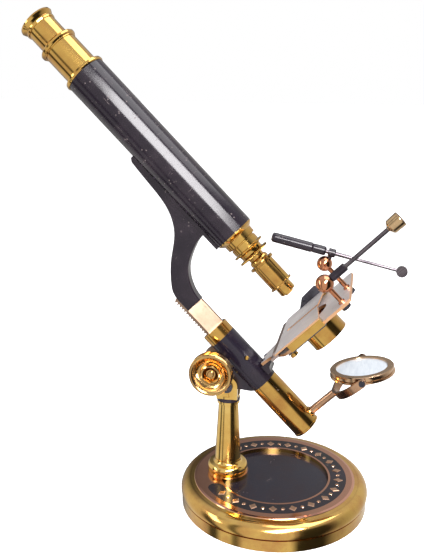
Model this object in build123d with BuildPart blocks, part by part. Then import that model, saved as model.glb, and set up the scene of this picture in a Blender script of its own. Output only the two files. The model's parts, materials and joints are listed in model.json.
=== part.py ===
"""Small Victorian compound microscope in lacquered brass and black japan.

Millimetres, +Z up. The origin is the centre of the foot's underside. The optical axis lies in the
plane y = 0 and dips towards +X, where the stage and the mirror are. The focusing knob is on -Y.
Lengths along the optical axis (s) start at the body tube's lower end and grow towards the mirror.
Heights square to the axis (n) are positive above it and negative on the limb's side.
"""
import os
from math import acos, cos, pi, radians, sin, sqrt, tan

from build123d import *

os.makedirs("parts", exist_ok=True)

# ---- driving dimensions ----
tube_dip = 45.2  # slope of the optical axis below the horizontal, degrees
body_tube_radius = 15.875  # 1 1/4 inch tube
foot_radius = 73.0
foot_top = 20.4
pillar_x = -37.8
pivot_height = 94.5
limb_n = -63.5  # axis of the limb, the bar and the tail tube
limb_radius = 11.1
stage_s = 86.0  # top face of the stage plate
stage_half = 42.0
gear_module = 0.8
pinion_teeth = 22
pinion_s = 64.4
mirror_s = 141.2
slide_gap = 0.05  # running clearance of sliding fits

# ---- frame of the optical axis ----
down = Vector(cos(radians(tube_dip)), 0, -sin(radians(tube_dip)))
rise = Vector(sin(radians(tube_dip)), 0, cos(radians(tube_dip)))
tube_end = Vector(-35.05, 0, 213.9)
side = Plane(origin=tube_end, x_dir=down, z_dir=(0, -1, 0))  # local x is s, local y is n
optical_axis = Axis(side.origin, down)


def point(s, n=0, y=0):
    """The world place of a length s along the axis, a height n above it and a side distance y."""
    return tube_end + down * s + rise * n + Vector(0, y, 0)


def across(s, n=0, y=0):
    """A plane square to the optical axis: local x is n, local y is -Y, local z is s."""
    return Plane(origin=point(s, n, y), x_dir=rise, z_dir=down)


def along_y(s, n, y):
    """A plane facing the near side, at a side distance y: local x is s, local y is n."""
    return Plane(origin=point(s, n, y), x_dir=down, z_dir=(0, -1, 0))


def along_rise(s, n, y=0):
    """A plane facing +n: local z is n."""
    return Plane(origin=point(s, n, y), x_dir=down, z_dir=rise)


def turned(label, plane, profile, bore=0):
    """One lathe-turned node about the plane's local z. The profile lists (height, radius)."""
    spin = Plane(origin=plane.origin, x_dir=plane.z_dir, z_dir=-plane.y_dir)
    with BuildPart() as piece:
        with BuildSketch(spin):
            with BuildLine():
                Polyline((profile[0][0], bore), *profile, (profile[-1][0], bore), close=True)
            make_face()
        revolve(axis=Axis(plane.origin, plane.z_dir))
    piece.part.label = label
    export_step(piece.part, f"parts/{label}.step")
    return piece


def turned_on_axis(label, profile, bore=0):
    """A turned node on the optical axis."""
    return turned(label, across(0), profile, bore)


def save(piece, label):
    piece.part.label = label
    export_step(piece.part, f"parts/{label}.step")


# ======== foot and pillar ========
band_middle = 50.7
band_width = 12.4
band_sweep = 288
recess_radius = 42.9
boss_radius = 16.6
stud_radius = 4.0
pillar_flange = 16.0
pillar_top = 79.0

with BuildPart() as foot:
    with BuildSketch(Plane.XZ):
        with BuildLine():
            Polyline((0, 0), (foot_radius, 0), (foot_radius, 8.5), (71.5, 8.9), (71.5, 9.6), (73.6, 10))
            ThreePointArc((73.6, 10), (72.0, 16.6), (66.0, 19.3))
            Polyline((66.0, 19.3), (63.6, 19.6), (63.2, 20.1), (61.6, foot_top), (0, foot_top), (0, 0))
        make_face()
    revolve(axis=Axis.Z)
    with BuildSketch(Plane.XY.offset(foot_top)):
        Circle(recess_radius)
        with Locations((pillar_x, 0)):
            Circle(boss_radius, mode=Mode.SUBTRACT)
    extrude(amount=-4.2, mode=Mode.SUBTRACT)
    with BuildSketch(Plane.XY.offset(foot_top)):
        SlotArc(CenterArc((0, 0), band_middle, -band_sweep / 2, band_sweep), band_width)
    extrude(amount=-1.2, mode=Mode.SUBTRACT)
    with Locations(Plane.XY.offset(foot_top)):
        with Locations((pillar_x, 0)):
            Hole(stud_radius)
    with BuildSketch(Plane.XY):
        with Locations((pillar_x, 0)):
            Circle(9)
    extrude(amount=6.5, mode=Mode.SUBTRACT)
save(foot, "foot")

with BuildPart() as foot_band:
    with BuildSketch(Plane.XY.offset(foot_top - 1.2)):
        SlotArc(CenterArc((0, 0), band_middle, -band_sweep / 2, band_sweep), band_width)
    extrude(amount=1.2)
save(foot_band, "foot_band")

with BuildPart() as foot_disc:
    with BuildSketch(Plane.XY.offset(foot_top - 4.2)):
        Circle(recess_radius)
        with Locations((pillar_x, 0)):
            Circle(boss_radius, mode=Mode.SUBTRACT)
    extrude(amount=1.0)
save(foot_disc, "foot_disc")

pillar_base = Plane(origin=(pillar_x, 0, 0), x_dir=(1, 0, 0), z_dir=(0, 0, 1))
with BuildPart() as pillar:
    with BuildSketch(Plane(origin=(pillar_x, 0, 0), x_dir=(1, 0, 0), z_dir=(0, -1, 0))):
        with BuildLine():
            Polyline((0, 1), (stud_radius, 1), (stud_radius, foot_top), (15.6, foot_top), (15.6, 21.8),
                     (14.4, 22.0))
            ThreePointArc((14.4, 22.0), (pillar_flange, 25.0), (14.4, 28.0))
            Line((14.4, 28.0), (11.6, 28.6))
            ThreePointArc((11.6, 28.6), (10.5, 30.0), (10.3, 32.0))
            Polyline((10.3, 32.0), (7.8, pillar_top - 0.6), (8.9, pillar_top), (8.9, pillar_top + 2.2),
                     (0, pillar_top + 2.2), (0, 1))
        make_face()
    revolve(axis=Axis((pillar_x, 0, 0), (0, 0, 1)))
save(pillar, "pillar")

with BuildPart() as pillar_nut:
    with BuildSketch(Plane.XY.offset(1)):
        with Locations((pillar_x, 0)):
            RegularPolygon(7.0, 6)
            Circle(stud_radius, mode=Mode.SUBTRACT)
    extrude(amount=5.5)
save(pillar_nut, "pillar_nut")

collar_bottom = pillar_top + 2.2
head_bottom = collar_bottom + 2.8
turned("pillar_collar", pillar_base, [(collar_bottom, 9.2), (head_bottom - 0.5, 9.2),
                                      (head_bottom, 8.7)])

# ======== inclination joint ========
pivot = Vector(pillar_x, 0, pivot_height)
pivot_radius = 2.5
cheek_radius = 8.2
cheek_in = 4.1
cheek_out = 8.3
slot_floor = pivot_height - head_bottom - 2.0  # depth of the head's slot below the pivot
tongue_radius = 7.4
pivot_plane = Plane(origin=pivot, x_dir=(1, 0, 0), z_dir=(0, -1, 0))

with BuildPart() as joint_head:
    with BuildSketch(Plane(origin=pillar_base.origin + Vector(0, 0, head_bottom))):
        Circle(8.7)
    extrude(amount=2.0)
    with BuildSketch(pivot_plane):
        Circle(cheek_radius)
        with Locations((0, -(pivot_height - head_bottom) / 2)):
            Rectangle(2 * cheek_radius, pivot_height - head_bottom)
    extrude(amount=cheek_out, both=True)
    with BuildSketch(pivot_plane):
        with Locations((0, (12 - slot_floor) / 2)):
            Rectangle(40, 12 + slot_floor)
    extrude(amount=cheek_in, both=True, mode=Mode.SUBTRACT)
    with BuildSketch(pivot_plane):
        Circle(pivot_radius)
    extrude(amount=2 * cheek_out, both=True, mode=Mode.SUBTRACT)
    with BuildSketch(pivot_plane.offset(cheek_out)):
        with Locations((1.2, -5.6)):
            Rectangle(0.5, 8.4, rotation=14)
    extrude(amount=-0.8, mode=Mode.SUBTRACT)
save(joint_head, "joint_head")

with BuildPart() as joint_bolt:
    with BuildSketch(pivot_plane.offset(-cheek_out)):
        Circle(pivot_radius)
    extrude(amount=2 * cheek_out)
    for face_offset, direction in ((cheek_out, 1), (-cheek_out, -1)):
        with BuildSketch(pivot_plane.offset(face_offset)):
            Circle(4.6)
        extrude(amount=direction * 1.8)
    with BuildSketch(pivot_plane.offset(cheek_out + 1.8)):
        Rectangle(10, 0.9, rotation=65)
    extrude(amount=-1.0, mode=Mode.SUBTRACT)
save(joint_bolt, "joint_bolt")

# ======== rack and pinion ========
pitch_radius = gear_module * pinion_teeth / 2
rack_pitch = pi * gear_module
rack_line = -70.9  # pitch line of the rack
pinion_n = rack_line - pitch_radius
backlash = 0.2
pressure = radians(20)
tooth_top = pitch_radius + 0.75 * gear_module
tooth_root = pitch_radius - 1.2 * gear_module
base_radius = pitch_radius * cos(pressure)
rack_first = 6.4
rack_last = 112.0
pinion_half = 2.2
housing_radius = 12.4
housing_half = 3.9
shaft_radius = 2.5
knob_back = -22.9
knob_depth = 9.6
knob_radius = 16.45


def involute(angle):
    return tan(angle) - angle


def half_tooth_angle(radius):
    """Half the angle that a pinion tooth spans at this radius."""
    angle = acos(min(1.0, base_radius / radius))
    pitch_half = (rack_pitch / 2 - backlash) / (2 * pitch_radius)
    return pitch_half + involute(pressure) - involute(angle)


def polar(radius, angle):
    return (radius * cos(angle), radius * sin(angle))


flank_radii = [base_radius, pitch_radius - 0.3, pitch_radius + 0.3, tooth_top]
gear_plane = along_y(pinion_s, pinion_n, 0)
with BuildPart() as pinion:
    with BuildSketch(gear_plane):
        Circle(tooth_root)
        for tooth in range(pinion_teeth):
            middle = pi / 2 + 2 * pi * tooth / pinion_teeth
            right = [polar(r, middle - half_tooth_angle(r)) for r in flank_radii]
            left = [polar(r, middle + half_tooth_angle(r)) for r in reversed(flank_radii)]
            inner = half_tooth_angle(base_radius)
            with BuildLine():
                Polyline(polar(tooth_root - 0.3, middle - inner), *right, *left,
                         polar(tooth_root - 0.3, middle + inner), close=True)
            make_face()
        Circle(shaft_radius, mode=Mode.SUBTRACT)
    extrude(amount=pinion_half, both=True)
save(pinion, "pinion")

turned("pinion_shaft", along_y(pinion_s, pinion_n, 0),
       [(-housing_half + 0.2, shaft_radius), (-knob_back + 6.6, shaft_radius), (-knob_back + 7.2, 1.9)])
turned("focus_knob", along_y(pinion_s, pinion_n, knob_back),
       [(0, 15.6), (0.8, knob_radius), (8.8, knob_radius), (knob_depth, 15.6), (knob_depth, 14.4),
        (7.4, 13.0), (5.4, 10.0), (5.2, 8.2), (7.6, 7.7), (8.0, 7.2), (8.0, 6.0), (7.0, 4.6),
        (5.6, 4.0)], bore=shaft_radius)

with BuildPart() as rack:
    with BuildSketch(side):
        tooth_tip = rack_line - 0.75 * gear_module
        tooth_foot = rack_line + 1.1 * gear_module
        with BuildLine():
            Polyline((rack_first, tooth_foot), (rack_last, tooth_foot), (rack_last, -67.9),
                     (rack_first, -67.9), close=True)
        make_face()
        first_tooth = int((rack_first - pinion_s) / rack_pitch)
        last_tooth = int((rack_last - pinion_s) / rack_pitch)
        slope = tan(pressure)
        thick = (rack_pitch / 2 - backlash) / 2
        for tooth in range(first_tooth, last_tooth):
            middle = pinion_s + (tooth + 0.5) * rack_pitch
            tip = thick - 0.75 * gear_module * slope
            foot_half = thick + 1.1 * gear_module * slope
            with BuildLine():
                Polyline((middle - foot_half, tooth_foot + 0.1), (middle - foot_half, tooth_foot),
                         (middle - tip, tooth_tip), (middle + tip, tooth_tip),
                         (middle + foot_half, tooth_foot), (middle + foot_half, tooth_foot + 0.1),
                         close=True)
            make_face()
    extrude(amount=3.0, both=True)
save(rack, "rack")

# ======== bar ========
bar_top = 19.5
bar_bottom = 120.0
bar_outline = [(-54.4, 1.4), (-67.0, 6.5), (-69.2, 6.0), (-69.8, 4.6)]


def bar_section(gap=0.0):
    """The bar's section: a blunt ridge towards the tube and a flat back, gap proud all round."""
    with BuildSketch() as section:
        with BuildLine():
            Polyline(*bar_outline, *[(n, -y) for n, y in reversed(bar_outline)], close=True)
        make_face()
        if gap:
            offset(amount=gap, kind=Kind.INTERSECTION)
    return section.sketch


with BuildPart() as slide_bar:
    with BuildSketch(across(bar_top)):
        add(bar_section())
    extrude(amount=bar_bottom - bar_top)
    with BuildSketch(side):
        with Locations(((bar_top + bar_bottom) / 2, -69.4)):
            Rectangle(200, 3.0)
    extrude(amount=3.0, both=True, mode=Mode.SUBTRACT)
save(slide_bar, "slide_bar")

# ======== limb ========
collar_s = 43.0
socket_s = 52.3
tail_s = 99.5
tail_end = 149.5
screw_s, screw_n, screw_y = 75.8, -57.4, -7.6
pivot_s = (pivot - tube_end).dot(down)
pivot_n = (pivot - tube_end).dot(rise)


def bar_way(start, length):
    """The hole that the bar and its rack slide in."""
    with BuildPart() as way:
        with BuildSketch(across(start)):
            add(bar_section(slide_gap))
            with Locations((-69.9, 0)):
                Rectangle(4.0, 6.1)
        extrude(amount=length)
    return way.part


with BuildPart() as limb_socket:
    with BuildSketch(across(socket_s, limb_n)):
        Circle(limb_radius)
    extrude(amount=tail_s - socket_s)
    with BuildSketch(side):
        with BuildLine():
            Polyline((pivot_s - tongue_radius, -66), (pivot_s - tongue_radius, pivot_n),
                     (pivot_s + tongue_radius, pivot_n),
                     (90.8, -82.2), (98.6, -75.6), (tail_s, -74.0), (tail_s, -66), close=True)
        make_face()
        with Locations((pivot_s, pivot_n)):
            Circle(tongue_radius)
    extrude(amount=cheek_in - 0.1, both=True)
    add(bar_way(socket_s, tail_s - socket_s), mode=Mode.SUBTRACT)
    with BuildSketch(gear_plane):
        Circle(tooth_top + 0.5)
    extrude(amount=housing_half - 1.3, both=True, mode=Mode.SUBTRACT)
    with BuildSketch(along_y(pivot_s, pivot_n, 0)):
        Circle(pivot_radius + slide_gap)
    extrude(amount=20, both=True, mode=Mode.SUBTRACT)
    for depth, radius in ((screw_y, 1.0), (screw_y - 1.2, 1.75)):
        with BuildSketch(along_y(screw_s, screw_n, depth)):
            Circle(radius)
        extrude(amount=10, mode=Mode.SUBTRACT)
save(limb_socket, "limb_socket")

with BuildPart() as limb_collar:
    with BuildSketch(across(collar_s, limb_n)):
        Circle(limb_radius)
    extrude(amount=socket_s - collar_s)
    chamfer(limb_collar.edges().group_by(Axis(side.origin, down))[0], 0.5)
    add(bar_way(collar_s, socket_s - collar_s), mode=Mode.SUBTRACT)
save(limb_collar, "limb_collar")

with BuildPart() as pinion_housing:
    with BuildSketch(gear_plane):
        Circle(housing_radius)
        with Locations((pivot_s - tongue_radius - pinion_s + 10, 0)):
            Rectangle(20, 40, mode=Mode.SUBTRACT)
    extrude(amount=housing_half, both=True)
    with BuildSketch(gear_plane):
        Circle(tooth_top + 0.5)
    extrude(amount=housing_half - 1.3, both=True, mode=Mode.SUBTRACT)
    with BuildSketch(gear_plane):
        Circle(shaft_radius + slide_gap)
    extrude(amount=10, both=True, mode=Mode.SUBTRACT)
    with BuildSketch(across(collar_s - 5, limb_n)):
        Circle(limb_radius + 0.02)
    extrude(amount=60, mode=Mode.SUBTRACT)
    with BuildSketch(gear_plane.offset(housing_half)):
        Circle(5.2)
        Circle(shaft_radius + slide_gap, mode=Mode.SUBTRACT)
    extrude(amount=-knob_back - housing_half - 1.2)
save(pinion_housing, "pinion_housing")

with BuildPart() as tail_tube:
    with BuildSketch(Plane(origin=point(0, limb_n), x_dir=down, z_dir=(0, -1, 0))):
        with BuildLine():
            Polyline((tail_s, 9.9), (tail_s, 11.0), (tail_end - 2.6, 11.0), (tail_end - 2.4, 11.3),
                     (tail_end - 1.2, 11.3), (tail_end - 0.9, 10.8))
            ThreePointArc((tail_end - 0.9, 10.8), (tail_end - 0.3, 9.9), (tail_end, 8.4))
            Polyline((tail_end, 8.4), (tail_end, 0), (tail_end - 1.4, 0), (tail_end - 1.4, 9.9),
                     (tail_s, 9.9))
        make_face()
    revolve(axis=Axis(point(0, limb_n), down))
    with BuildSketch(along_y(0, 0, -5)):
        with Locations(((tail_s + 110.4) / 2, -57)):
            Rectangle(110.4 - tail_s, 0.6)
        with Locations((110.4, -57)):
            Circle(0.9)
    extrude(amount=8, mode=Mode.SUBTRACT)
    with BuildSketch(along_rise(mirror_s, limb_n)):
        Circle(4.4)
    extrude(amount=20, mode=Mode.SUBTRACT)
save(tail_tube, "tail_tube")

turned("mirror_bush", along_rise(mirror_s, limb_n),
       [(5.0, 4.35), (10.3, 4.35), (11.2, 4.35), (11.9, 3.9)], bore=3.0 + slide_gap)
turned("socket_screw", along_y(screw_s, screw_n, screw_y), [(0, 1.0), (1.2, 1.0), (1.2, 1.7),
                                                            (2.3, 1.4), (2.6, 0.6)])

# ======== arm and body tube ========
arm_half = 4.7
saddle_n = -body_tube_radius - 1.5

with BuildPart() as arm:
    with BuildSketch(side):
        with BuildLine():
            Line((-93, saddle_n), (-90.5, -19.3))
            Spline((-90.5, -19.3), (-67.7, -21.0), (-46.3, -24.3), (-30.2, -33.7), (-18.7, -48.5),
                   (-5.5, -61.9), (8, -67.9), tangents=[(1, -0.1), (1, -0.05)])
            Polyline((8, -67.9), (bar_top, -67.9), (bar_top, -54.6))
            Spline((bar_top, -54.6), (4.6, -50.6), (-5.3, -42.9), (-13.2, -27.9), (-15.1, saddle_n),
                   tangents=[(-1, 0.03), (-0.05, 1)])
            Line((-15.1, saddle_n), (-93, saddle_n))
        make_face()
    extrude(amount=arm_half, both=True)
    chamfer(arm.edges().filter_by(GeomType.BSPLINE), 0.6)
save(arm, "arm")

with BuildPart() as tube_saddle:
    with BuildSketch(across(-93)):
        with Locations((-body_tube_radius, 0)):
            Rectangle(3.0, 2 * arm_half + 1.6)
        Circle(body_tube_radius, mode=Mode.SUBTRACT)
    extrude(amount=93)
save(tube_saddle, "tube_saddle")

tube_bore = 14.6
with BuildPart() as body_tube:
    with BuildSketch(across(-160)):
        Circle(body_tube_radius)
        Circle(tube_bore, mode=Mode.SUBTRACT)
    extrude(amount=160)
save(body_tube, "body_tube")

draw_radius = 13.4
turned_on_axis("tube_top_ring", [(-163.0, 15.4), (-162.8, 16.4), (-161.4, 16.8), (-160.9, 16.8),
                                 (-160, 16.4)], bore=draw_radius + slide_gap)
turned_on_axis("draw_tube_guide", [(-160, tube_bore), (-130, tube_bore)], bore=draw_radius + slide_gap)

# ======== nosepiece and fine focus ========
collar_bore = 8.3
nose_bore = 6.9
turned_on_axis("nosepiece", [(-8, tube_bore), (0, tube_bore), (0, 15.6), (1.0, 15.6), (3.6, 12.4),
                             (8.3, 12.3), (8.8, 10.3), (9.4, 10.3), (9.6, 11.0), (14.2, 11.0),
                             (14.2, collar_bore - slide_gap), (22.2, collar_bore - slide_gap)],
               bore=nose_bore)
turned_on_axis("focus_collar", [(14.6, 13.0), (15.0, 13.2), (15.8, 13.2), (16.2, 9.6), (20.3, 9.3),
                                (20.5, 12.6), (20.8, 12.8), (21.8, 12.8), (22.1, 12.2)],
               bore=collar_bore)

nose_tube = nose_bore - slide_gap
tube_wall = 5.4
turned_on_axis("nose_slider", [(-2, nose_tube), (22.8, nose_tube), (23.0, 6.2), (25.0, 6.2),
                               (25.6, 7.2), (27.0, 7.8), (28.2, 7.8), (28.6, 7.0), (29.0, 7.0)],
               bore=tube_wall)
turned_on_axis("objective_flange", [(29.0, 9.9), (29.3, 10.4), (29.9, 10.4), (30.05, 9.9), (30.25, 9.9),
                                    (30.4, 10.4), (31.0, 10.4), (31.3, 9.8)], bore=tube_wall)
turned_on_axis("objective_barrel", [(31.3, 8.5), (50.6, 8.5), (50.8, 9.5), (51.1, 9.7), (51.6, 9.7),
                                    (52.0, 9.2)], bore=tube_wall)
turned_on_axis("objective_tip", [(52.0, 6.4), (59.0, 6.4), (59.8, 5.6), (60.0, 3.6), (60.9, 3.2)],
               bore=2.2)
turned_on_axis("objective_lens", [(52.6, 2.2), (55.0, 2.2), (58.6, 2.2), (59.2, 1.2)])

# ======== draw tube and eyepiece ========
eyepiece_radius = 11.5
turned_on_axis("draw_tube", [(-187.0, draw_radius), (-80.0, draw_radius)],
               bore=eyepiece_radius + slide_gap)
turned_on_axis("draw_tube_head", [(-191.5, 13.6), (-191.0, 14.6), (-190.2, 15.3), (-188.8, 15.3),
                                  (-187.9, 14.7), (-187.7, 14.1), (-187.0, 14.1)],
               bore=eyepiece_radius + slide_gap)
turned_on_axis("eyepiece_tube", [(-207.0, eyepiece_radius), (-150.0, eyepiece_radius)], bore=10.6)
turned_on_axis("eyepiece_cap", [(-212.6, 11.2), (-214.0, 12.4), (-213.6, 13.5), (-212.4, 13.9),
                                (-211.0, 13.2), (-209.4, 12.0), (-208.2, 12.4), (-207.0, 12.2)],
               bore=5.4)
turned_on_axis("eye_lens", [(-211.4, 1.0), (-210.9, 5.4), (-208.6, 5.4), (-208.2, 1.0)])
turned_on_axis("field_lens", [(-154.4, 2.0), (-153.2, 10.6), (-151.4, 10.6), (-151.2, 2.0)])

# ======== stage ========
plate_thick = 2.2
plate_corner = 38.0
root_n = limb_n + limb_radius + 0.4
aperture = 14.0
stage_plane = across(stage_s)
post_spots = [(31.5, -34.0), (34.8, -2.0)]  # (n, y) of the near and the middle ball post
post_radius = 1.8
shoulder_radius = 2.7

with BuildPart() as stage_plate:
    with BuildSketch(stage_plane):
        with BuildLine():
            Polyline((-46, -11.5), (root_n, -10), (root_n, 10), (-46, 11.5))
            Spline((-46, 11.5), (-38, 18), (-28, 33), (-18, stage_half), tangents=[(1, 0.4), (1, 0.15)])
            Polyline((-18, stage_half), (plate_corner - 3, stage_half), (plate_corner, stage_half - 3),
                     (plate_corner, 3 - stage_half), (plate_corner - 3, -stage_half),
                     (-18, -stage_half))
            Spline((-18, -stage_half), (-28, -33), (-38, -18), (-46, -11.5),
                   tangents=[(-1, 0.15), (-1, 0.4)])
        make_face()
        Circle(aperture, mode=Mode.SUBTRACT)
        with Locations(*[(n, -y) for n, y in post_spots]):
            Circle(post_radius + slide_gap, mode=Mode.SUBTRACT)
    extrude(amount=plate_thick)
save(stage_plate, "stage_plate")

with BuildPart() as stage_bracket:
    with BuildSketch(across(stage_s + plate_thick)):
        with Locations((-49.5, 0)):
            Rectangle(9, 19)
    extrude(amount=8.0)
    with BuildSketch(side):
        with Locations((stage_s + plate_thick + 8.0, -45)):
            Circle(5.5)
    extrude(amount=20, both=True, mode=Mode.SUBTRACT)
    with BuildSketch(across(stage_s - 5, limb_n)):
        Circle(limb_radius)
    extrude(amount=40, mode=Mode.SUBTRACT)
save(stage_bracket, "stage_bracket")

with BuildPart() as ledge_bar:
    with BuildSketch(side):
        with BuildLine():
            Polyline((stage_s, -35.0), (stage_s - 2.2, -35.0), (stage_s - 2.2, -31.8),
                     (stage_s - 4.4, -31.4), (stage_s - 4.4, -28.4), (stage_s, -28.4), close=True)
        make_face()
    extrude(amount=36.0, both=True)
save(ledge_bar, "ledge_bar")

with BuildPart() as substage_tube:
    with BuildSketch(across(stage_s + plate_thick)):
        Circle(15.05)
        Circle(aperture, mode=Mode.SUBTRACT)
    extrude(amount=106.4 - stage_s - plate_thick)
save(substage_tube, "substage_tube")

# ======== sliding carriage ========
carriage_top = stage_s - 4.4
carriage_thick = 1.2
carriage_back = -28.0
flange_y = stage_half + 0.3
with BuildPart() as stage_carriage:
    with BuildSketch(across(carriage_top)):
        with BuildLine():
            Polyline((carriage_back, -flange_y - 1.4), (14, -flange_y - 1.4), (9, -2.2), (-20, -2.2))
            ThreePointArc((-20, -2.2), (-22.2, 0), (-20, 2.2))
            Polyline((-20, 2.2), (9, 2.2), (14, flange_y + 1.4), (carriage_back, flange_y + 1.4),
                     (carriage_back, -flange_y - 1.4))
        make_face()
    extrude(amount=carriage_thick)
save(stage_carriage, "stage_carriage")

spring_s = stage_s + plate_thick + 0.3
carriage_under = carriage_top + carriage_thick
with BuildPart() as carriage_flanges:
    for hand in (-1, 1):
        with BuildSketch(across(carriage_under)):
            with Locations((-1.5, hand * (flange_y + 0.7))):
                Rectangle(31, 1.4)
        extrude(amount=spring_s - carriage_under)
        with BuildSketch(across(carriage_under)):
            with Locations((-1.5, hand * (flange_y - 1.7))):
                Rectangle(31, 3.4)
        extrude(amount=stage_s - carriage_under - 0.3)
save(carriage_flanges, "carriage_flanges")

with BuildPart() as friction_spring:
    with BuildSketch(across(spring_s)):
        with Locations((-3.5, flange_y - 2.6)):
            Rectangle(35, 5.0)
    extrude(amount=0.7)
    with BuildSketch(across(spring_s)):
        with Locations((-1.5, flange_y + 0.65)):
            Rectangle(31, 1.5)
    extrude(amount=0.7)
    with BuildSketch(across(spring_s)):
        with Locations((-18.0, flange_y - 2.6)):
            Circle(1.2 + slide_gap)
    extrude(amount=0.7, mode=Mode.SUBTRACT)
save(friction_spring, "friction_spring")

turned("thumb_screw", across(spring_s, -18.0, -(flange_y - 2.6)),
       [(0, 1.2), (0.7, 1.2), (0.7, 2.2), (1.4, 2.2), (1.6, 3.0), (3.6, 3.0), (3.9, 2.4), (4.2, 1.2)])

clip_y = flange_y - 3.2
with BuildPart() as slide_clip:
    with BuildSketch(along_y(0, 0, clip_y)):
        with BuildLine():
            Polyline((carriage_top, -14), (carriage_top - 6.2, -6), (carriage_top - 7.2, 8),
                     (carriage_top - 4.0, 10.5), (carriage_top, 10.5), close=True)
        make_face()
    extrude(amount=-1.2)
save(slide_clip, "slide_clip")

# ======== accessories on the ball posts ========


def ball_post(label, n, y, ball_s, ball_radius):
    """A ball turned in one piece with its leg, whose shoulder sits on the stage plate."""
    neck = sqrt(ball_radius ** 2 - post_radius ** 2)
    line = across(ball_s, n, y)
    shoulder_top = stage_s - 1.3 - ball_s
    shoulder_under = stage_s - 0.1 - ball_s
    leg_end = stage_s + plate_thick + 3.6 - ball_s
    with BuildPart() as piece:
        with BuildSketch(Plane(origin=line.origin, x_dir=line.z_dir, z_dir=-line.y_dir)):
            with BuildLine():
                ThreePointArc((-ball_radius, 0), (0, ball_radius), (neck, post_radius))
                Polyline((neck, post_radius), (shoulder_top, post_radius),
                         (shoulder_top, shoulder_radius), (shoulder_under, shoulder_radius),
                         (shoulder_under, post_radius), (leg_end, post_radius), (leg_end, 0),
                         (-ball_radius, 0))
            make_face()
        revolve(axis=Axis(line.origin, line.z_dir))
    save(piece, label)


near_n, near_y = post_spots[0]
far_n, far_y = post_spots[1]
near_ball_s = 68.0
far_ball_s = 61.5
near_ball_radius = 6.5
far_ball_radius = 5.7
ball_post("near_ball_post", near_n, near_y, near_ball_s, near_ball_radius)
ball_post("far_ball_post", far_n, far_y, far_ball_s, far_ball_radius)

with BuildPart() as post_nut_near:
    with BuildSketch(across(stage_s + plate_thick + 0.3, near_n, near_y)):
        RegularPolygon(3.6, 6)
        Circle(post_radius, mode=Mode.SUBTRACT)
    extrude(amount=2.8)
save(post_nut_near, "near_post_nut")

with BuildPart() as post_nut_far:
    with BuildSketch(across(stage_s + plate_thick + 0.3, far_n, far_y)):
        RegularPolygon(3.6, 6)
        Circle(post_radius, mode=Mode.SUBTRACT)
    extrude(amount=2.8)
save(post_nut_far, "far_post_nut")

cup_line = along_rise(near_ball_s + 0.3, near_n, near_y)
turned("cup_sleeve", cup_line, [(6.4, 3.0), (18.5, 3.0), (19.0, 2.4)], bore=1.65)
turned("cup_rod", cup_line, [(6.8, 1.6), (57.0, 1.6)])
turned("cork_cup", cup_line, [(57.0, 1.9), (57.6, 2.4), (58.4, 4.2), (59.6, 5.3), (67.6, 5.6),
                              (68.2, 5.5), (68.2, 4.9), (60.4, 4.7)])

forceps_dip = 12.6  # slope of the forceps below the horizontal, degrees
forceps_way = Vector(cos(radians(forceps_dip)), 0, -sin(radians(forceps_dip)))
forceps_rise = Vector(sin(radians(forceps_dip)), 0, cos(radians(forceps_dip)))
far_ball = point(far_ball_s, far_n, far_y)
forceps_lift = 9.2  # height of the forceps' axis over the ball's centre
forceps_line = Plane(origin=far_ball + forceps_rise * forceps_lift, x_dir=(0, 1, 0), z_dir=forceps_way)

with BuildPart() as forceps_collar:
    with BuildSketch(forceps_line.offset(0.4)):
        Circle(3.1)
        Circle(1.55, mode=Mode.SUBTRACT)
    extrude(amount=5.4)
    chamfer(forceps_collar.edges().group_by(Axis(forceps_line.origin, forceps_way))[-1], 0.6)
    with BuildSketch(Plane(origin=far_ball + forceps_way * 2.4, x_dir=(0, 1, 0), z_dir=forceps_rise)):
        Circle(1.5)
    extrude(amount=forceps_lift - 2.2)
    with Locations(far_ball):
        Sphere(far_ball_radius, mode=Mode.SUBTRACT)
save(forceps_collar, "forceps_collar")

turned("forceps_handle", forceps_line,
       [(-42.4, 2.4), (-41.6, 3.4), (-39.8, 3.65), (-12.2, 3.65), (-11.4, 3.1), (-10.6, 3.4),
        (-2.6, 3.4), (-1.4, 2.6)])

disc_reach = 55.0
with BuildPart() as forceps_rod:
    with BuildSketch(forceps_line.offset(-1.4)):
        Circle(1.5)
    extrude(amount=18.4)
    with BuildSketch(forceps_line.offset(17.0)):
        Circle(1.15)
    extrude(amount=disc_reach - 17.0 - 3.0)
    disc_place = forceps_line.origin + forceps_way * disc_reach
    disc_plane = Plane(origin=disc_place, x_dir=forceps_way, z_dir=(0, -1, 0))
    with BuildSketch(disc_plane):
        Circle(4.1)
    extrude(amount=1.3, both=True)
save(forceps_rod, "forceps_rod")

# ======== mirror ========
mirror_tilt = 9.4  # slope of the mirror's face above the horizontal, towards +X
rim_radius = 24.5
hoop_in = 26.0
hoop_out = 28.0
hoop_half = 3.1
glass_radius = 20.6
mirror_centre = point(mirror_s)
mirror_facing = Vector(-sin(radians(mirror_tilt)), 0, cos(radians(mirror_tilt)))
mirror_plane = Plane(origin=mirror_centre, x_dir=(0, 1, 0), z_dir=mirror_facing)

with BuildPart() as mirror_fork:
    with BuildSketch(across(mirror_s - hoop_half)):
        Circle(hoop_out)
        Circle(hoop_in, mode=Mode.SUBTRACT)
        with Locations((hoop_out, 0)):
            Rectangle(2 * hoop_out, 3 * hoop_out, mode=Mode.SUBTRACT)
    extrude(amount=2 * hoop_half)
    for hand in (-1, 1):
        with BuildSketch(along_y(mirror_s, 0, hand * (hoop_in + hoop_out) / 2)):
            Circle(hoop_half)
        extrude(amount=(hoop_out - hoop_in) / 2, both=True)
    with BuildSketch(along_y(mirror_s, 0, 0)):
        Circle(1.2)
    extrude(amount=hoop_out + 5, both=True, mode=Mode.SUBTRACT)
    with BuildSketch(along_rise(mirror_s, limb_n + 4)):
        Circle(3.0)
    extrude(amount=-limb_n - 4 - hoop_in - 0.6)
save(mirror_fork, "mirror_fork")

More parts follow.
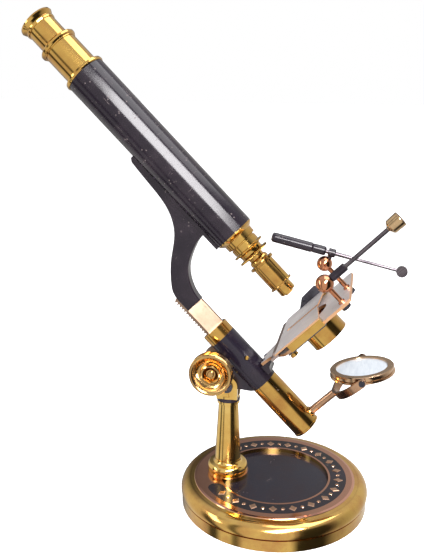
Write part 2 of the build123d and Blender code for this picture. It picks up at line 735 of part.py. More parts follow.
with BuildPart() as fork_screws:
    for hand in (-1, 1):
        with BuildSketch(along_y(mirror_s, 0, hand * 21.6)):
            Circle(1.2)
        extrude(amount=-hand * (hoop_out - 21.6))
        with BuildSketch(along_y(mirror_s, 0, hand * hoop_out)):
            Circle(2.3)
        extrude(amount=-hand * 1.1)
        with BuildSketch(along_y(mirror_s, 0, hand * (hoop_out + 1.1))):
            Rectangle(6, 0.6, rotation=50)
        extrude(amount=hand * 0.6, mode=Mode.SUBTRACT)
save(fork_screws, "fork_screws")

mirror_section = Plane(origin=mirror_centre, x_dir=(0, 1, 0), z_dir=mirror_plane.x_dir.cross(mirror_facing))
with BuildPart() as mirror_frame:
    with BuildSketch(mirror_section):
        with BuildLine():
            Polyline((0, -2.9), (rim_radius - 0.6, -2.9), (rim_radius, -2.3), (rim_radius, -1.2),
                     (23.3, -0.7), (23.3, 0.9), (23.9, 1.2), (24.1, 2.3), (23.6, 2.9), (19.4, 2.9),
                     (19.4, 1.9), (glass_radius, 1.9), (glass_radius, -1.9), (0, -1.9), (0, -2.9))
        make_face()
    revolve(axis=Axis(mirror_centre, mirror_facing))
    with BuildSketch(along_y(mirror_s, 0, 0)):
        Circle(1.2 + slide_gap)
    extrude(amount=40, both=True, mode=Mode.SUBTRACT)
save(mirror_frame, "mirror_frame")

turned("mirror_glass", mirror_plane, [(-1.8, glass_radius - 0.1), (1.8, glass_radius - 0.1)])
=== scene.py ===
"""Looks of the small brass and black japanned compound microscope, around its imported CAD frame.

Lengths are metres in the CAD frame: origin under the foot's centre, +Z up, knob on -Y. The optical
axis lies in the plane y = 0: s runs down it from the body tube's lower end, n is the height above it.
"""

import json
import math

import bmesh
import bpy
from mathutils import Matrix, Vector


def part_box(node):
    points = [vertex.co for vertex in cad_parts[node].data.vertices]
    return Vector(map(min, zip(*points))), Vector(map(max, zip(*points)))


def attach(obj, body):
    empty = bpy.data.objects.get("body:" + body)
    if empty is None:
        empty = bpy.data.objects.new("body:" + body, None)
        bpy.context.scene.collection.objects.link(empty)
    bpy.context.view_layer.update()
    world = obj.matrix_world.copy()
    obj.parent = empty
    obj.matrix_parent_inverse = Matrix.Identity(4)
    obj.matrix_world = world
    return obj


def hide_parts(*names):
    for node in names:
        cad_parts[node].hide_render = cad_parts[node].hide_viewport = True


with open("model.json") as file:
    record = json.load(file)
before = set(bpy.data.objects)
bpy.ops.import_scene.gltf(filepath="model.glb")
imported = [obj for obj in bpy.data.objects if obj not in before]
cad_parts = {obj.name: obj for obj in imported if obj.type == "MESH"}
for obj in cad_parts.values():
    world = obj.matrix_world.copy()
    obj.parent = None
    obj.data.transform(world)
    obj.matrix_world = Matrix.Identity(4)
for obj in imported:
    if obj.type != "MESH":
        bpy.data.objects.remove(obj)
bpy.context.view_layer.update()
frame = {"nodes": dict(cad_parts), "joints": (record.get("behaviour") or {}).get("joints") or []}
nodes = frame["nodes"]
MM = 0.001

# ---- frame of the optical axis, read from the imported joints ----
joints = {joint["name"]: joint for joint in frame["joints"]}
DOWN = Vector(joints["coarse_focus"]["axis"]).normalized()
RISE = Vector(joints["carriage_slide"]["axis"]).normalized()
NEAR = Vector((0, -1, 0))
COLLAR_S = 18  # mm down the axis from the body tube's lower end to the fine-focus collar's joint
TUBE_END = Vector(joints["fine_focus_turn"]["pos_m"]) - DOWN * COLLAR_S * MM


def point(s, n=0.0, y=0.0):
    """World place of s, n and y, given in millimetres."""
    return TUBE_END + DOWN * s * MM + RISE * n * MM + Vector((0, y * MM, 0))


# ======== materials ========
COLOUR_A, COLOUR_B, COLOUR_MIXED = 6, 7, 2  # the mix node's two colour inputs and its colour output


class Finish:
    """A principled material and short calls that add and join its nodes."""

    def __init__(self, name, along=None):
        self.material = bpy.data.materials.new(name)
        self.material.use_nodes = True
        self.tree = self.material.node_tree
        self.tree.nodes.clear()
        output = self.add("ShaderNodeOutputMaterial")
        self.shader = self.add("ShaderNodeBsdfPrincipled")
        self.join(self.shader.outputs[0], output.inputs[0])
        self.coords = self.add("ShaderNodeTexCoord").outputs["Object"]
        if along is not None:  # turn the texture space so that its Z lies along this direction
            turn = self.add("ShaderNodeMapping")
            turn.vector_type = "POINT"
            turn.inputs["Rotation"].default_value = along.rotation_difference(Vector((0, 0, 1))).to_euler()
            self.join(self.coords, turn.inputs["Vector"])
            self.coords = turn.outputs[0]

    def add(self, kind):
        return self.tree.nodes.new(kind)

    def join(self, source, target):
        self.tree.links.new(source, target)

    def set(self, **values):
        """Sets inputs of the shader; an underscore in a name stands for a space."""
        for name, value in values.items():
            self.shader.inputs[name.replace("_", " ")].default_value = value

    def scaled(self, stretch):
        """The coordinates times a vector of scales, for stretched textures."""
        mapping = self.add("ShaderNodeMapping")
        mapping.inputs["Scale"].default_value = stretch
        self.join(self.coords, mapping.inputs["Vector"])
        return mapping.outputs[0]

    def noise(self, scale, detail=4.0, rough=0.6, stretch=(1, 1, 1), distortion=0.0):
        texture = self.add("ShaderNodeTexNoise")
        texture.inputs["Scale"].default_value = scale
        texture.inputs["Detail"].default_value = detail
        texture.inputs["Roughness"].default_value = rough
        texture.inputs["Distortion"].default_value = distortion
        self.join(self.scaled(stretch), texture.inputs["Vector"])
        return texture.outputs["Fac"]

    def cells(self, scale):
        texture = self.add("ShaderNodeTexVoronoi")
        texture.inputs["Scale"].default_value = scale
        self.join(self.coords, texture.inputs["Vector"])
        return texture.outputs["Distance"]

    def ramp(self, value, low, high, first=0.0, last=1.0):
        """value mapped from low..high to first..last, held at the ends."""
        mapping = self.add("ShaderNodeMapRange")
        mapping.inputs["From Min"].default_value = low
        mapping.inputs["From Max"].default_value = high
        mapping.inputs["To Min"].default_value = first
        mapping.inputs["To Max"].default_value = last
        self.join(value, mapping.inputs["Value"])
        return mapping.outputs["Result"]

    def math(self, operation, first, second):
        step = self.add("ShaderNodeMath")
        step.operation = operation
        for socket, value in zip(step.inputs, (first, second)):
            if isinstance(value, (int, float)):
                socket.default_value = value
            else:
                self.join(value, socket)
        return step.outputs[0]

    def blend(self, factor, first, second):
        """Colour first where factor is 0 and second where it is 1; each is a colour or a socket."""
        mix = self.add("ShaderNodeMix")
        mix.data_type = "RGBA"
        self.join(factor, mix.inputs["Factor"])
        for socket, value in ((mix.inputs[COLOUR_A], first), (mix.inputs[COLOUR_B], second)):
            if isinstance(value, tuple):
                socket.default_value = (*value, 1)
            else:
                self.join(value, socket)
        return mix.outputs[COLOUR_MIXED]

    def facing(self, direction):
        """How squarely the surface faces along this direction, either way, from 0 to 1."""
        normal = self.add("ShaderNodeTexCoord").outputs["Normal"]
        dot = self.add("ShaderNodeVectorMath")
        dot.operation = "DOT_PRODUCT"
        dot.inputs[1].default_value = direction
        self.join(normal, dot.inputs[0])
        return self.math("ABSOLUTE", dot.outputs["Value"], 0.0)

    def bump(self, height, strength, distance):
        relief = self.add("ShaderNodeBump")
        relief.inputs["Strength"].default_value = strength
        relief.inputs["Distance"].default_value = distance
        self.join(height, relief.inputs["Height"])
        self.join(relief.outputs[0], self.shader.inputs["Normal"])

    def finish(self, colour, roughness):
        self.join(colour, self.shader.inputs["Base Color"])
        self.join(roughness, self.shader.inputs["Roughness"])
        return self.material


def brass(name, along, crown=None, gold=(0.60, 0.37, 0.09), warm=(0.46, 0.23, 0.055), gloss=0.11):
    """Polished brass: turning marks round the axis, warm clouds, tarnish in spots and fine scratches.

    gold and warm are the two colours of its clouds, gloss its mean roughness. A flat top above the
    height crown, in metres, has toned to copper.
    """
    copper_tone, tarnish_tone, tarnish = (0.60, 0.31, 0.21), (0.22, 0.12, 0.05), 0.6
    crown_blend = 0.0004  # metres over which the copper sets in
    metal = Finish(name, along)
    metal.set(Metallic=1.0, Coat_Weight=0.25, Coat_Roughness=0.06)
    clouds = metal.noise(55, 5, 0.6)
    colour = metal.blend(metal.ramp(clouds, 0.38, 0.66), gold, warm)
    if crown is not None:
        split = metal.add("ShaderNodeSeparateXYZ")
        metal.join(metal.add("ShaderNodeTexCoord").outputs["Object"], split.inputs[0])
        toned = metal.ramp(split.outputs["Z"], crown - crown_blend, crown)
        colour = metal.blend(toned, colour, copper_tone)
    spots = metal.ramp(metal.noise(210, 8, 0.72), 0.60, 0.72)
    patches = metal.ramp(metal.noise(70, 3, 0.5), 0.50, 0.64)
    stain = metal.math("MULTIPLY", metal.math("MULTIPLY", spots, patches), tarnish)
    colour = metal.blend(stain, colour, tarnish_tone)
    turning = metal.noise(1.0, 2, 0.5, stretch=(60, 60, 5200))
    scratches = metal.ramp(metal.noise(1.0, 3, 0.6, stretch=(2600, 300, 300), distortion=0.6), 0.66, 0.74)
    roughness = metal.ramp(clouds, 0.3, 0.7, gloss * 0.6, gloss * 1.3)
    roughness = metal.math("ADD", roughness, metal.math("MULTIPLY", stain, 0.35))
    roughness = metal.math("ADD", roughness, metal.math("MULTIPLY", scratches, 0.12))
    height = metal.math("ADD", turning, metal.math("MULTIPLY", scratches, -0.5))
    metal.bump(height, 0.02, 0.00005)
    return metal.finish(colour, roughness)


def japan(name, along, scratch=1.0, tint=(0.006, 0.004, 0.007)):
    """Black japan enamel: deep gloss, brush waves, long pale scratches, chips and dust."""
    brown_cloud, bared = (0.013, 0.009, 0.013), (0.07, 0.055, 0.055)  # colours of clouds and of wear
    enamel = Finish(name, along)
    enamel.set(Coat_Weight=0.15, Coat_Roughness=0.14, IOR=1.5, Specular_IOR_Level=0.28)
    clouds = enamel.noise(40, 5, 0.6)
    colour = enamel.blend(enamel.ramp(clouds, 0.4, 0.65), tint, brown_cloud)
    lines = enamel.ramp(enamel.noise(1.0, 6, 0.7, stretch=(700, 700, 40), distortion=0.3), 0.62, 0.68)
    breaks = enamel.ramp(enamel.noise(120, 3, 0.5), 0.50, 0.58)
    long_scratches = enamel.math("MULTIPLY", lines, breaks)
    cross = enamel.ramp(enamel.noise(1.0, 4, 0.6, stretch=(80, 80, 900), distortion=0.8), 0.66, 0.70)
    chips = enamel.ramp(enamel.cells(300), 0.24, 0.14)
    chip_places = enamel.ramp(enamel.noise(70, 4, 0.6), 0.54, 0.60)
    wear = enamel.math("MAXIMUM", long_scratches, enamel.math("MULTIPLY", cross, breaks))
    wear = enamel.math("MAXIMUM", wear, enamel.math("MULTIPLY", chips, chip_places))
    wear = enamel.math("MULTIPLY", wear, scratch)
    colour = enamel.blend(wear, colour, bared)
    roughness = enamel.math("ADD", enamel.ramp(clouds, 0.3, 0.7, 0.12, 0.20),
                            enamel.math("MULTIPLY", wear, 0.4))
    waves = enamel.noise(260, 3, 0.5, stretch=(1, 1, 0.25))
    enamel.bump(enamel.math("SUBTRACT", waves, wear), 0.06, 0.0001)
    return enamel.finish(colour, roughness)


def brushed(name, along, light, dark, gloss, edge=None, edge_axis=None):
    """Bare metal rubbed along one direction, with cloudy stains and scratches.

    Faces that lie square to edge_axis keep the metal's own colour; the others take the colour edge.
    """
    across_grain, along_grain = 1440, 50  # scale of the hairs across and along the rubbing
    metal = Finish(name, along)
    metal.set(Metallic=1.0)
    clouds = metal.noise(60, 6, 0.65)
    hairs = metal.noise(1.0, 4, 0.6, stretch=(across_grain, across_grain, along_grain))
    colour = metal.blend(metal.ramp(clouds, 0.35, 0.68), light, dark)
    stains = metal.ramp(metal.noise(140, 8, 0.75), 0.60, 0.72, 0.0, 0.6)
    colour = metal.blend(stains, colour, tuple(channel * 0.45 for channel in dark))
    if edge is not None:
        colour = metal.blend(metal.ramp(metal.facing(edge_axis), 0.6, 0.4), colour, edge)
    roughness = metal.math("ADD", metal.ramp(hairs, 0.3, 0.7, gloss - 0.10, gloss + 0.12),
                           metal.math("MULTIPLY", stains, 0.2))
    metal.bump(hairs, 0.18, 0.00015)
    return metal.finish(colour, roughness)


def silvered():
    """Mirror glass with faint wiping marks and a few dust specks; its bright, pale bluish colour on a mostly
    diffuse surface is a painted reflection of the white room.
    """
    # bright and wiped are painted reflection: pale bluish tones on a surface only 0.3 metallic stand in for
    # the white room that the mirror reflects; wiped is that painted reflection a little darker along the
    # wiping marks
    bright, wiped, dust_grey = (0.62, 0.67, 0.72), (0.52, 0.57, 0.63), (0.4, 0.4, 0.4)
    mirror = Finish("mirror_silvered")
    mirror.set(Metallic=0.3, Coat_Weight=0.6, Coat_Roughness=0.02)
    wipes = mirror.noise(1.0, 5, 0.6, stretch=(420, 60, 420), distortion=0.5)
    dust = mirror.ramp(mirror.cells(900), 0.10, 0.05)
    dusty = mirror.math("MULTIPLY", dust, mirror.ramp(mirror.noise(150), 0.55, 0.65))
    colour = mirror.blend(mirror.ramp(wipes, 0.4, 0.7), bright, wiped)
    colour = mirror.blend(dusty, colour, dust_grey)
    roughness = mirror.ramp(wipes, 0.3, 0.75, 0.02, 0.14)
    mirror.bump(dusty, 0.05, 0.0001)
    return mirror.finish(colour, roughness)


def lens_glass():
    """Clear crown glass with faint smears."""
    glass = Finish("lens_clear")
    glass.set(Transmission_Weight=1.0, IOR=1.52)
    smears = glass.noise(1.0, 4, 0.6, stretch=(500, 120, 500))
    colour = glass.blend(glass.ramp(smears, 0.4, 0.7), (0.96, 0.98, 0.98), (0.88, 0.92, 0.93))
    glass.bump(smears, 0.02, 0.0001)
    return glass.finish(colour, glass.ramp(smears, 0.3, 0.8, 0.01, 0.08))


UP = Vector((0, 0, 1))
brass_tube = brass("brass_tube", DOWN)
FOOT_CROWN = 0.0200  # height of the foot's flat top, in metres
brass_foot = brass("brass_foot", UP, crown=FOOT_CROWN, gold=(0.66, 0.42, 0.11), warm=(0.54, 0.28, 0.08),
                   gloss=0.15)
brass_pillar = brass("brass_pillar", UP, gold=(0.76, 0.52, 0.16), warm=(0.66, 0.40, 0.10), gloss=0.14)
brass_knob = brass("brass_knob", NEAR, gold=(0.56, 0.35, 0.12), warm=(0.40, 0.23, 0.10), gloss=0.14)
brass_small = brass("brass_small", RISE, gold=(0.62, 0.44, 0.24), warm=(0.45, 0.30, 0.16), gloss=0.2)
copper_turned = brass("copper_turned", DOWN, gold=(0.56, 0.24, 0.12), warm=(0.38, 0.13, 0.06), gloss=0.12)
copper_fork = brass("copper_fork", UP, gold=(0.50, 0.30, 0.18), warm=(0.34, 0.19, 0.11), gloss=0.2)
rim_metal = brass("rim_metal", UP, gold=(0.58, 0.38, 0.22), warm=(0.42, 0.26, 0.15), gloss=0.18)
japan_tube = japan("japan_tube", DOWN)
japan_arm = japan("japan_arm", DOWN, scratch=0.55)
japan_limb = japan("japan_limb", DOWN, scratch=0.4, tint=(0.008, 0.006, 0.011))
japan_foot = japan("japan_foot", UP, scratch=0.3, tint=(0.008, 0.007, 0.008))
slate_disc = japan("slate_disc", UP, scratch=0.35, tint=(0.012, 0.011, 0.017))
bar_bronze = brushed("bar_bronze", DOWN, (0.34, 0.24, 0.17), (0.24, 0.16, 0.11), gloss=0.40)
stage_silver = brushed("stage_silver", RISE, (0.96, 0.92, 0.91), (0.86, 0.80, 0.79), gloss=0.45,
                       edge=(0.62, 0.36, 0.20), edge_axis=DOWN)
ledge_bronze = brushed("ledge_bronze", Vector((0, 1, 0)), (0.40, 0.31, 0.28), (0.28, 0.21, 0.19), gloss=0.38)
blued_steel = brushed("blued_steel", DOWN, (0.10, 0.10, 0.12), (0.04, 0.04, 0.05), gloss=0.30)
rod_steel = brushed("rod_steel", RISE, (0.16, 0.14, 0.15), (0.06, 0.05, 0.06), gloss=0.30)

finishes = {
    brass_foot: ["foot"],
    brass_pillar: ["pillar", "pillar_nut", "joint_head"],
    brass_tube: ["limb_collar", "tail_tube", "mirror_bush", "tube_top_ring", "draw_tube_guide", "nosepiece",
                 "focus_collar", "nose_slider", "objective_flange", "objective_barrel", "objective_tip",
                 "draw_tube", "draw_tube_head", "eyepiece_tube", "eyepiece_cap", "substage_tube",
                 "carriage_flanges", "thumb_screw", "socket_screw"],
    brass_knob: ["focus_knob", "pinion_shaft", "pinion"],
    brass_small: ["cork_cup"],
    rim_metal: ["mirror_frame"],
    copper_turned: ["near_ball_post", "far_ball_post"],
    copper_fork: ["mirror_fork"],
    japan_tube: ["body_tube"],
    japan_arm: ["arm", "tube_saddle", "forceps_handle", "cup_sleeve", "forceps_collar", "stage_bracket"],
    japan_limb: ["limb_socket", "pillar_collar"],
    japan_foot: ["foot_band"],
    slate_disc: ["foot_disc"],
    bar_bronze: ["slide_bar", "rack", "pinion_housing"],
    stage_silver: ["stage_plate", "stage_carriage"],
    ledge_bronze: ["ledge_bar"],
    blued_steel: ["joint_bolt", "friction_spring", "slide_clip", "near_post_nut", "far_post_nut",
                  "fork_screws"],
    rod_steel: ["cup_rod", "forceps_rod"],
    lens_glass(): ["objective_lens", "eye_lens", "field_lens"],
    silvered(): ["mirror_glass"],
}
for material, names in finishes.items():
    for name in names:
        slots = nodes[name].data.materials
        slots.clear()
        slots.append(material)


# ======== turned and milled pieces ========
def new_piece(name, mesh, material, body):
    """A Blender piece that moves with this body and takes this material slot."""
    piece = bpy.data.objects.new(name, mesh)
    bpy.context.scene.collection.objects.link(piece)
    mesh.materials.append(material)
    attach(piece, body)
    return piece


SHARP_TURNED, SHARP_CAD = math.radians(32), math.radians(28)  # edges sharper than this stay crisp


def lathe(name, origin, axis, profile, material, body, segments, ridges=None):
    """Turns a closed (height, radius) outline, in millimetres, about an axis through origin.

    ridges is (first height, last height, count, depth): the rim is milled there.
    """
    side = axis.orthogonal().normalized()
    across = axis.cross(side)
    shape = bmesh.new()
    rings = []
    for height, radius in profile:
        ring = []
        for step in range(segments):
            angle = 2 * math.pi * step / segments
            reach = radius
            if ridges and ridges[0] <= height <= ridges[1]:
                reach -= ridges[3] * (0.5 + 0.5 * math.cos(angle * ridges[2]))
            outward = side * math.cos(angle) + across * math.sin(angle)
            ring.append(shape.verts.new(origin + axis * height * MM + outward * reach * MM))
        rings.append(ring)
    for first, second in zip(rings, rings[1:] + rings[:1]):
        for step in range(segments):
            after = (step + 1) % segments
            shape.faces.new((first[step], first[after], second[after], second[step]))
    bmesh.ops.recalc_face_normals(shape, faces=shape.faces)
    mesh = bpy.data.meshes.new(name)
    shape.to_mesh(mesh)
    shape.free()
    mesh.shade_smooth()
    mesh.set_sharp_from_angle(angle=SHARP_TURNED)
    return new_piece(name, mesh, material, body)


knob_low, knob_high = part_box("focus_knob")
knob_depth = (knob_high.y - knob_low.y) / MM
knob_rim = (knob_high.x - knob_low.x) / 2 / MM
knob_back = Vector(((knob_low.x + knob_high.x) / 2, knob_high.y, (knob_low.z + knob_high.z) / 2))
shaft_radius = 2.5
knob_rim_band = (1.45, 8.15)  # mm from the knob's back, between which its rim is milled
knob_teeth, knob_tooth_depth = 120, 0.35
# (mm from the back, radius in mm), round the section: back, milled rim, lip, dished face, hub
knob_outline = [
    (0.0, shaft_radius + 0.1), (0.0, knob_rim - 1.4), (0.3, knob_rim - 0.8), (0.9, knob_rim - 0.5),
    (1.3, knob_rim - 0.5), (1.5, knob_rim), (4.8, knob_rim), (8.1, knob_rim), (8.3, knob_rim - 0.5),
    (8.8, knob_rim - 0.5), (9.3, knob_rim - 0.8), (knob_depth, knob_rim - 1.5),
    (knob_depth - 0.1, knob_rim - 2.2), (8.8, 13.4), (7.2, 12.4), (6.0, 11.0), (5.4, 9.6), (5.3, 8.6),
    (5.6, 8.2), (7.2, 7.9), (7.9, 7.5), (8.1, 6.9), (8.0, 6.2), (7.4, 5.4), (6.6, 4.7), (6.0, 4.2),
    (5.7, 3.6), (5.7, shaft_radius + 0.1),
]
knob = lathe("focus_knob_milled", knob_back, NEAR, knob_outline, brass_knob, "pinion_body",
             segments=4 * knob_teeth, ridges=(*knob_rim_band, knob_teeth, knob_tooth_depth))
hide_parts("focus_knob")

collar_milled_band = (20.85, 21.75)  # s of the milled ring, in mm
collar_teeth, collar_tooth_depth = 96, 0.3
# (s, radius), in mm, round the section: upper ring, waist, milled lower ring, bore
collar_outline = [
    (14.6, 8.4), (14.6, 12.6), (14.8, 13.0), (15.0, 13.2), (15.8, 13.2), (16.0, 13.0), (16.2, 12.4),
    (16.2, 10.4), (16.6, 9.8), (17.4, 9.4), (19.6, 9.2), (20.2, 9.6), (20.45, 10.4), (20.5, 12.3),
    (20.7, 12.6), (20.9, 12.8), (21.7, 12.8), (21.9, 12.6), (22.1, 12.2), (22.1, 8.4),
]
collar = lathe("focus_collar_milled", point(0), DOWN, collar_outline, brass_tube, "focus_ring",
               segments=4 * collar_teeth, ridges=(*collar_milled_band, collar_teeth, collar_tooth_depth))
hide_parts("focus_collar")


def screw(name, place, axis, radius, height, turn, material, body):
    """A domed screw head, radius and height in millimetres, with a slot cut at this turn in degrees."""
    pin = 0.05  # the outline stays this far off the axis
    slot_width, slot_length, slot_place = 0.3 * radius, 3 * radius, 1.05 * height
    dome = [(0, pin), (0, radius), (height * 0.5, radius), (height * 0.85, radius * 0.8),
            (height, radius * 0.4), (height, pin)]
    head = lathe(name, place, axis, dome, material, body, segments=32)
    cutter_mesh = bpy.data.meshes.new(name + "_cut")
    shape = bmesh.new()
    bmesh.ops.create_cube(shape, size=1.0)
    size = Matrix.Diagonal((slot_length * MM, slot_width * MM, height * MM, 1))
    aim = axis.to_track_quat("Z", "Y").to_matrix().to_4x4()
    spin = Matrix.Rotation(math.radians(turn), 4, "Z")
    top = Matrix.Translation(place + axis * slot_place * MM)
    bmesh.ops.transform(shape, matrix=top @ aim @ spin @ size, verts=shape.verts)
    shape.to_mesh(cutter_mesh)
    shape.free()
    cutter = bpy.data.objects.new(name + "_cut", cutter_mesh)
    bpy.context.scene.collection.objects.link(cutter)
    cut = head.modifiers.new("slot", "BOOLEAN")
    cut.object = cutter
    cut.solver = "EXACT"
    bpy.context.view_layer.update()
    done = bpy.data.meshes.new_from_object(head.evaluated_get(bpy.context.evaluated_depsgraph_get()))
    head.modifiers.clear()
    head.data = done
    bpy.data.objects.remove(cutter)
    return head


clip_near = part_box("slide_clip")[0].y / MM
screw("clip_screw", point(77.6, -6.5, clip_near), NEAR, 1.5, 0.9, 35, blued_steel, "carriage")
BRACKET_S, BRACKET_N, BRACKET_Y = 86.0, -50.0, 5.5  # mm: the two screws stand either side of the axis
for index, (y, turn) in enumerate(((-BRACKET_Y, 60), (BRACKET_Y, 110))):
    screw(f"bracket_screw_{index}", point(BRACKET_S, BRACKET_N, y), -DOWN, 1.6, 0.7, turn, blued_steel,
          "limb")

# ======== ornament on the foot's band ========
band_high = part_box("foot_band")[1]
band_top = band_high.z
band_outer = band_high.x / MM
band_inner = 44.5
band_middle = (band_outer + band_inner) / 2
band_reach = 134  # degrees either side of +X
sunk, raised, top_scale = 0.05 * MM, 0.35 * MM, 0.8  # a tile's base lies in the band; its top is smaller
motifs, pellet_sides = 32, 12
lozenge_half_angle, lozenge_half_height = 0.062, 4.0  # radians round the band and mm across it
pellet_half_angle, pellet_half_height = 0.030, 1.6


def raised_tile(shape, corners):
    """A low tile with sloping sides, raised on the band, from its (x, y) corners in metres."""
    corners = [Vector(corner) for corner in corners]
    centre = sum(corners, Vector((0, 0))) / len(corners)
    base = [shape.verts.new((*corner, band_top - sunk)) for corner in corners]
    shrunk = [centre + (corner - centre) * top_scale for corner in corners]
    top = [shape.verts.new((*corner, band_top + raised)) for corner in shrunk]
    shape.faces.new(top)
    for index in range(len(corners)):
        after = (index + 1) % len(corners)
        shape.faces.new((base[index], base[after], top[after], top[index]))


def on_band(angle, radius):
    """The (x, y) place in metres at this angle in radians and radius in millimetres."""
    return (radius * MM * math.cos(angle), radius * MM * math.sin(angle))


ornament = bmesh.new()
for motif in range(motifs + 1):
    angle = math.radians(-band_reach + 2 * band_reach * motif / motifs)
    if motif % 2 == 0:  # a lozenge
        sides, half_angle, half_height = 4, lozenge_half_angle, lozenge_half_height
    else:  # a round pellet
        sides, half_angle, half_height = pellet_sides, pellet_half_angle, pellet_half_height
    corners = []
    for step in range(sides):
        turn = -2 * math.pi * step / sides
        corners.append(on_band(angle + half_angle * math.cos(turn),
                               band_middle + half_height * math.sin(turn)))
    raised_tile(ornament, corners)
bmesh.ops.recalc_face_normals(ornament, faces=ornament.faces)
ornament_mesh = bpy.data.meshes.new("band_ornament")
ornament.to_mesh(ornament_mesh)
ornament.free()
copper_relief = brass("copper_relief", UP, gold=(0.66, 0.40, 0.26), warm=(0.50, 0.29, 0.19), gloss=0.22)
new_piece("band_ornament", ornament_mesh, copper_relief, "base")

# ======== smooth shading of the CAD nodes ========
for node in nodes.values():
    node.data.shade_smooth()
    node.data.set_sharp_from_angle(angle=SHARP_CAD)

# ======== floor, light and camera ========
FLOOR_HALF, FLOOR_DROP = 60.0, 0.0002  # metres; the drop keeps the foot's underside off the floor
floor_mesh = bpy.data.meshes.new("floor")
floor_shape = bmesh.new()
bmesh.ops.create_grid(floor_shape, x_segments=1, y_segments=1, size=FLOOR_HALF)
floor_shape.to_mesh(floor_mesh)
floor_shape.free()
floor = bpy.data.objects.new("floor", floor_mesh)
bpy.context.scene.collection.objects.link(floor)
floor.location.z = -FLOOR_DROP
paper_white, paper_shade = (0.94, 0.94, 0.95), (0.90, 0.90, 0.92)
floor_paint = Finish("floor_paper")
floor_paint.set(Specular_IOR_Level=0.1, Emission_Color=(1, 1, 1, 1), Emission_Strength=0.35)
paper = floor_paint.noise(8, 4, 0.5)
floor_colour = floor_paint.blend(floor_paint.ramp(paper, 0.3, 0.7), paper_white, paper_shade)
floor_mesh.materials.append(floor_paint.finish(floor_colour, floor_paint.ramp(paper, 0.3, 0.7, 0.7, 0.8)))
floor.visible_glossy = False  # the metal reflects the room's panels in its place

world = bpy.data.worlds.new("studio")
bpy.context.scene.world = world
world.use_nodes = True
sky = world.node_tree
sky.nodes.clear()
sky_out = sky.nodes.new("ShaderNodeOutputWorld")
sky_light = sky.nodes.new("ShaderNodeBackground")
sky_seen = sky.nodes.new("ShaderNodeBackground")
sky_mix = sky.nodes.new("ShaderNodeMixShader")
sky_path = sky.nodes.new("ShaderNodeLightPath")
sky_place = sky.nodes.new("ShaderNodeTexCoord")
sky_ramp = sky.nodes.new("ShaderNodeValToRGB")
sky_split = sky.nodes.new("ShaderNodeSeparateXYZ")
sky_span = sky.nodes.new("ShaderNodeMapRange")
sky_soft = sky.nodes.new("ShaderNodeBackground")
sky_kind = sky.nodes.new("ShaderNodeMixShader")
# bright and dark upright panels round the room, which the polished metal reflects
sky.links.new(sky_place.outputs["Generated"], sky_split.inputs[0])
sky_angle = sky.nodes.new("ShaderNodeMath")
sky_angle.operation = "ARCTAN2"
sky.links.new(sky_split.outputs["Y"], sky_angle.inputs[0])
sky.links.new(sky_split.outputs["X"], sky_angle.inputs[1])
sky_span.inputs["From Min"].default_value = -math.pi
sky_span.inputs["From Max"].default_value = math.pi
sky.links.new(sky_angle.outputs[0], sky_span.inputs["Value"])
sky.links.new(sky_span.outputs[0], sky_ramp.inputs[0])
# (place round the room, from 0 at -X through -Y, +X and +Y to 1; brightness)
panels = [(0.00, 0.90), (0.02, 0.80), (0.04, 0.08), (0.065, 0.08), (0.085, 0.95), (0.12, 0.90), (0.135, 0.20),
          (0.150, 0.20), (0.165, 0.95), (0.22, 1.00), (0.33, 1.00), (0.355, 0.04), (0.45, 0.03), (0.50, 0.50),
          (0.60, 0.80), (0.72, 0.80), (0.80, 0.08), (0.88, 0.50), (0.94, 0.90)]
stops = sky_ramp.color_ramp.elements
for index, (place, brightness) in enumerate(panels):
    stop = stops[index] if index < 2 else stops.new(place)  # a new ramp has two stops
    stop.position = place
    stop.color = (brightness, brightness * 0.98, brightness * 0.95, 1)
# the panels give way to a pale ceiling between these heights on the unit sphere
sky_up = sky.nodes.new("ShaderNodeMapRange")
sky_up.inputs["From Min"].default_value = 0.55
sky_up.inputs["From Max"].default_value = 0.80
sky.links.new(sky_split.outputs["Z"], sky_up.inputs["Value"])
sky_colour = sky.nodes.new("ShaderNodeMix")
sky_colour.data_type = "RGBA"
sky_colour.inputs[COLOUR_B].default_value = (0.85, 0.86, 0.95, 1)
sky.links.new(sky_up.outputs[0], sky_colour.inputs["Factor"])
sky.links.new(sky_ramp.outputs[0], sky_colour.inputs[COLOUR_A])
sky.links.new(sky_colour.outputs[COLOUR_MIXED], sky_light.inputs["Color"])
sky_light.inputs["Strength"].default_value = 1.0
sky_soft.inputs["Color"].default_value = (1, 1, 1, 1)
sky_soft.inputs["Strength"].default_value = 0.9
sky_seen.inputs["Color"].default_value = (1, 1, 1, 1)
sky_seen.inputs["Strength"].default_value = 1.0
# the camera sees white, glossy rays see the panels, and all other rays a soft white
sky.links.new(sky_path.outputs["Is Glossy Ray"], sky_kind.inputs[0])
sky.links.new(sky_soft.outputs[0], sky_kind.inputs[1])
sky.links.new(sky_light.outputs[0], sky_kind.inputs[2])
sky.links.new(sky_path.outputs["Is Camera Ray"], sky_mix.inputs[0])
sky.links.new(sky_kind.outputs[0], sky_mix.inputs[1])
sky.links.new(sky_seen.outputs[0], sky_mix.inputs[2])
sky.links.new(sky_mix.outputs[0], sky_out.inputs[0])


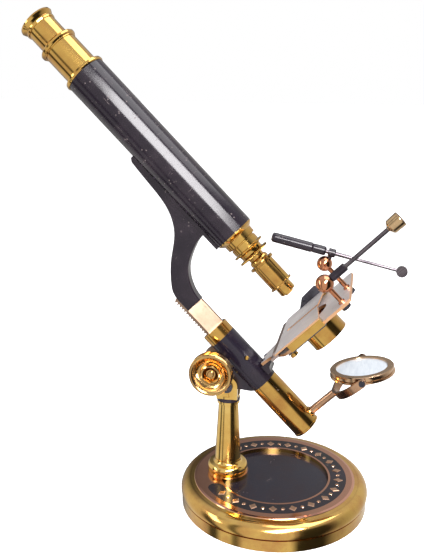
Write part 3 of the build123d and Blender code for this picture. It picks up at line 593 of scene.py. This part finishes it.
def softbox(name, place, target, width, height, power, colour=(1, 1, 1), along=(1, 0, 0)):
    """An area light at place that faces target, with its width lying along the given direction."""
    lamp = bpy.data.lights.new(name, "AREA")
    lamp.shape = "RECTANGLE"
    lamp.size, lamp.size_y = width, height
    lamp.energy = power
    lamp.color = colour
    holder = bpy.data.objects.new(name, lamp)
    bpy.context.scene.collection.objects.link(holder)
    back = (Vector(place) - Vector(target)).normalized()
    span = (Vector(along) - back * back.dot(Vector(along))).normalized()
    facing = Matrix((span, back.cross(span), back)).transposed().to_4x4()
    holder.matrix_world = Matrix.Translation(place) @ facing
    holder.visible_camera = False


middle = (0, 0, 0.17)
tube_middle = (-0.05, 0, 0.25)  # the key light is aimed here, its width across the body tube's axis
softbox("key", (0.41, -1.08, 1.03), tube_middle, 1.15, 0.46, 46, (1, 0.98, 1), along=(0.49, 0.70, 0.49))
softbox("top", (0.35, 0.1, 1.3), middle, 0.9, 0.9, 9)
softbox("left", (-1.1, -0.5, 0.5), middle, 0.25, 0.9, 4)

camera_data = bpy.data.cameras.new("camera")
camera_data.sensor_fit = "HORIZONTAL"
camera_data.sensor_width = 36
camera_data.lens = 60.56
camera_data.shift_x = -0.0594
camera_data.shift_y = -0.0368
camera_data.clip_start = 0.01
camera = bpy.data.objects.new("camera", camera_data)
bpy.context.scene.collection.objects.link(camera)
yaw, pitch, roll = 0.173, 0.224, -0.015  # radians: turned left of +Y, tipped down, rolled
camera_place = Vector((0.05764, -0.51594, 0.31134))
ahead = Vector((-math.sin(yaw) * math.cos(pitch), math.cos(yaw) * math.cos(pitch), -math.sin(pitch)))
level = Vector((math.cos(yaw), math.sin(yaw), 0))
below = ahead.cross(level)
right = level * math.cos(roll) + below * math.sin(roll)
drop = below * math.cos(roll) - level * math.sin(roll)
camera_turn = Matrix((right, -drop, -ahead)).transposed().to_4x4()
camera.matrix_world = Matrix.Translation(camera_place) @ camera_turn
bpy.context.scene.camera = camera
bpy.context.scene.view_settings.view_transform = "Standard"
